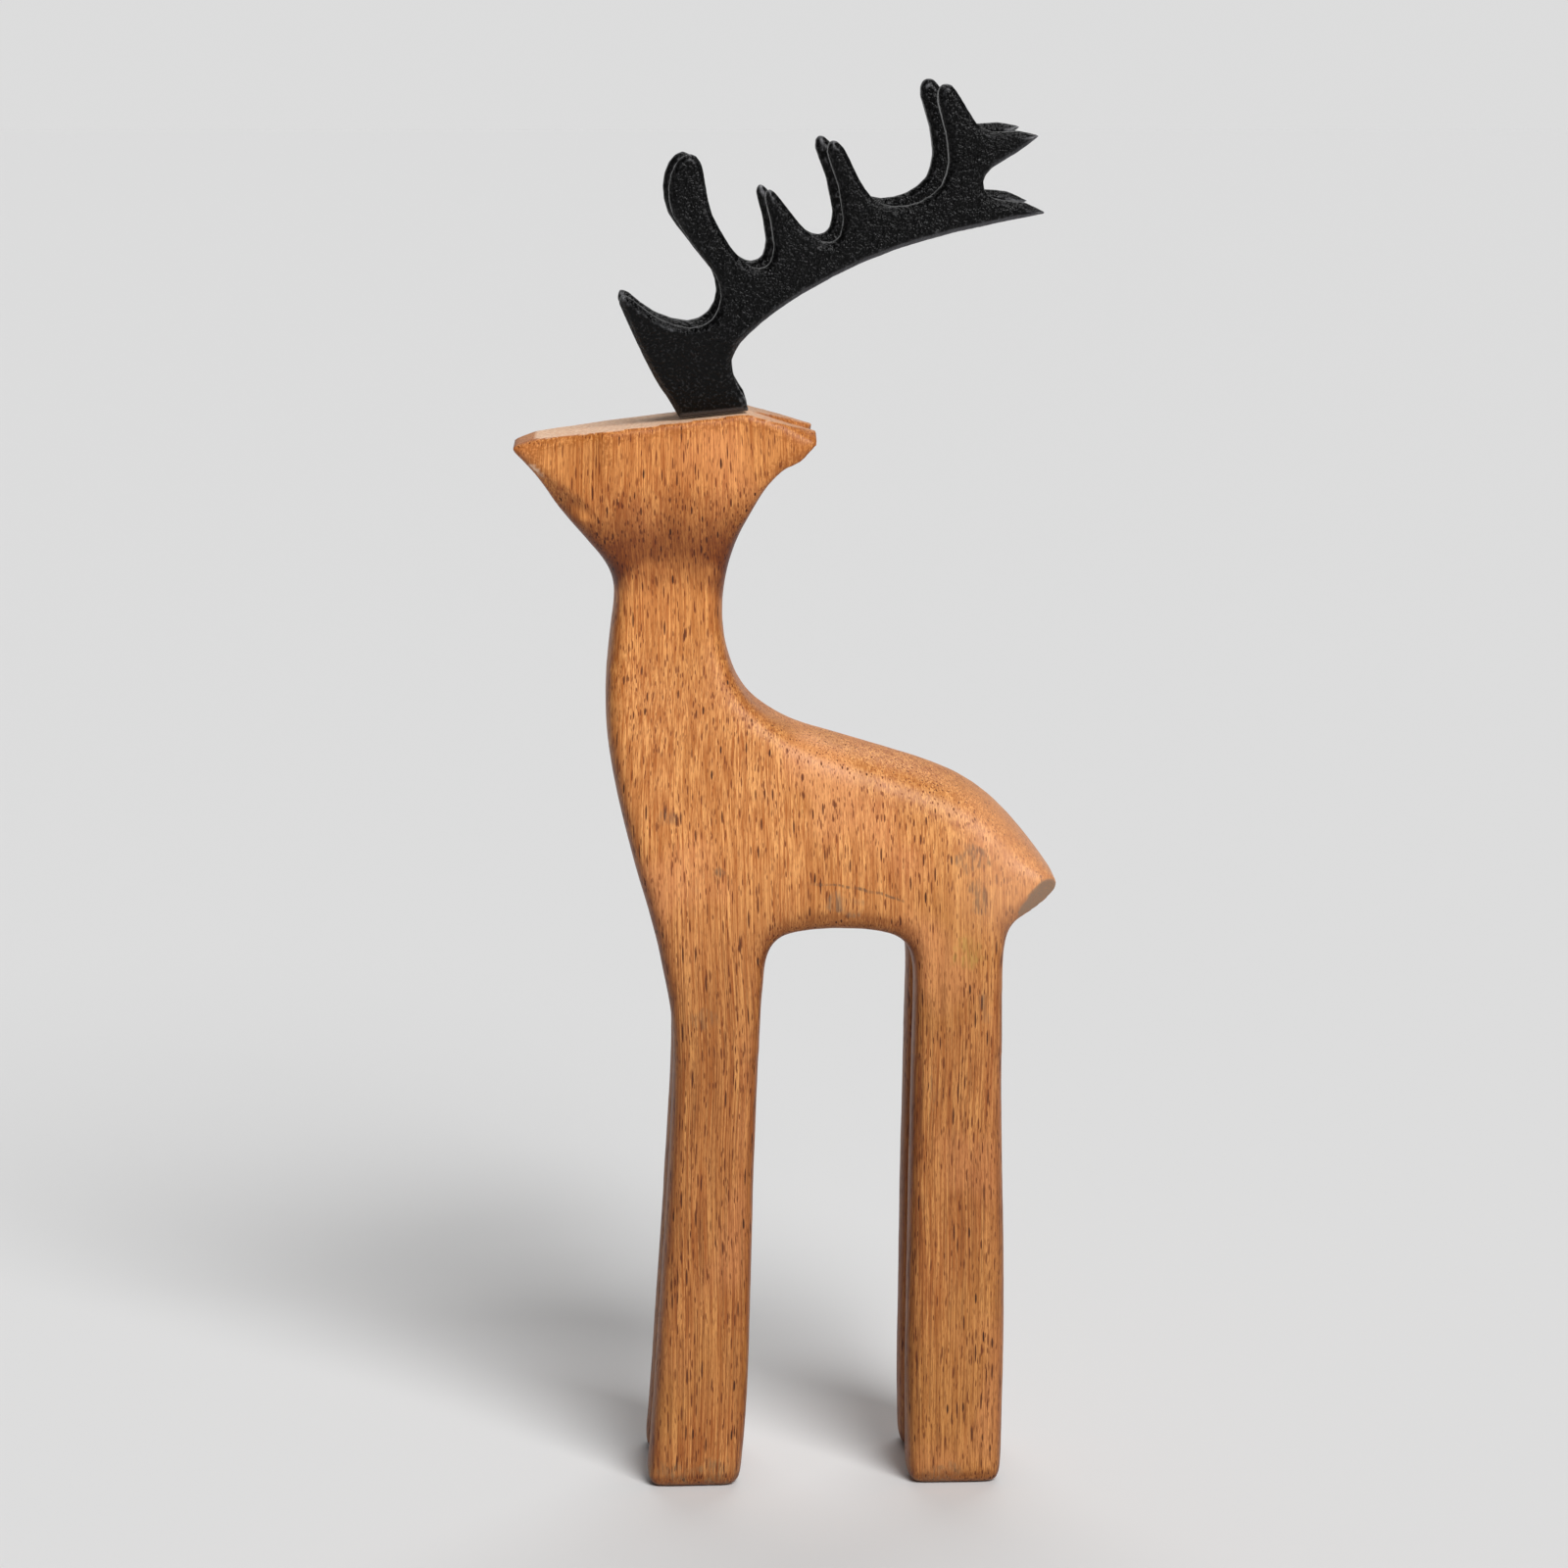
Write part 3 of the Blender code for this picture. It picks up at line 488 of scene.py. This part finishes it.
roughness = 0.46 + (streaks - 0.5) * 0.15 + pores * 0.25 + planed * 0.2
wood_shader.inputs["Specular IOR Level"].default_value = 0.32
feed(wood_shader, "Base Color", base)
feed(wood_shader, "Roughness", roughness)
height = streaks * 0.4 + fibres * 0.3 - pores * 0.8
relief = height.add("ShaderNodeBump", {}, {"Height": height, "Strength": 0.4, "Distance": 0.00015})
feed(wood_shader, "Normal", relief)
finished_piece(wood_mesh, wood, "wooden_body")


# Antlers: two flat plates that look sand-cast, with bevelled rims, folded outwards just above the head
# and painted semi-gloss black over the casting texture. How they are fixed to the head doesn't show.
METAL_GRID = 0.45
METAL_EDGE_PASSES = 6
METAL_EDGE_REACH = 0.25

# Depth of the casting's waves and lumps, the size of each, and the height above which they start
CAST_WAVES = 0.12
CAST_ROUGHNESS = 0.05
CAST_WAVE_SIZE = 6
CAST_LUMP_SIZE = 1.3
CAST_START = 284

# Colours of the paint and its grit, the painted highlight on the rims, and the painted reflection of the
# floor on the faces that look down
BLACK_PAINT = (0.0006, 0.0006, 0.0007, 1)
GRIT = (0.022, 0.022, 0.023, 1)
RIM_HIGHLIGHT = (0.22, 0.22, 0.23, 1)
FLOOR_REFLECTION = (0.10, 0.10, 0.11, 1)

metal, metal_shader, place = new_finish("black_casting")
edge = place.add("ShaderNodeAttribute", {"attribute_name": "edge"}, {}, output=2)
tilt = place.add("ShaderNodeAttribute", {"attribute_name": "tilt"}, {}, output=2)
sand = place.clouds((0.65, 0.65, 0.65), 1.0, 1.0, 0.6)
lumps = place.clouds((1.5, 1.5, 1.5), 2.0, 3.0)
patches = place.clouds((9.0, 9.0, 9.0), 3.0, 2.0)
highlit_rims = (edge + (lumps - 0.5) * 0.5).rise(0.25, 0.8)
black = place.add("ShaderNodeMix", {"data_type": "RGBA"},
                  {0: sand.rise(0.54, 0.70), 6: BLACK_PAINT, 7: GRIT}, output=2)
# Painted highlight: the rims are lightened to grey
black = black.towards(RIM_HIGHLIGHT, highlit_rims * 0.8)
# Painted reflection: faces that look down are lightened to grey, as if they mirrored the pale floor
black = black.towards(FLOOR_REFLECTION, (0 - tilt).rise(0.45, 0.8) * 0.8)
metal_shader.inputs["Specular IOR Level"].default_value = 0.14
feed(metal_shader, "Base Color", black)
feed(metal_shader, "Roughness", 0.30 + (patches - 0.5) * 0.2 - highlit_rims * 0.1)
height = sand * 0.6 + lumps * 1.0
relief = height.add("ShaderNodeBump", {}, {"Height": height, "Strength": 1.0, "Distance": 0.0006})
feed(metal_shader, "Normal", relief)

for node, name in (("antler_left", "left_antler_casting"), ("antler_right", "right_antler_casting")):
    metal_mesh = remeshed(node, name, METAL_GRID)
    bm = bmesh.new()
    bm.from_mesh(metal_mesh)
    smooth(bm, bm.verts, 1)
    bm.normal_update()
    for vert in bm.verts:
        if vert.co.z > CAST_START * MM:
            wave = noise.noise(vert.co / (CAST_WAVE_SIZE * MM))
            lump = noise.noise(vert.co / (CAST_LUMP_SIZE * MM))
            vert.co += vert.normal * (CAST_WAVES * wave + CAST_ROUGHNESS * lump) * MM
    note_edges(bm, METAL_EDGE_PASSES, METAL_EDGE_REACH)
    note_facing(bm)
    bm.to_mesh(metal_mesh)
    bm.free()
    finished_piece(metal_mesh, metal, node)
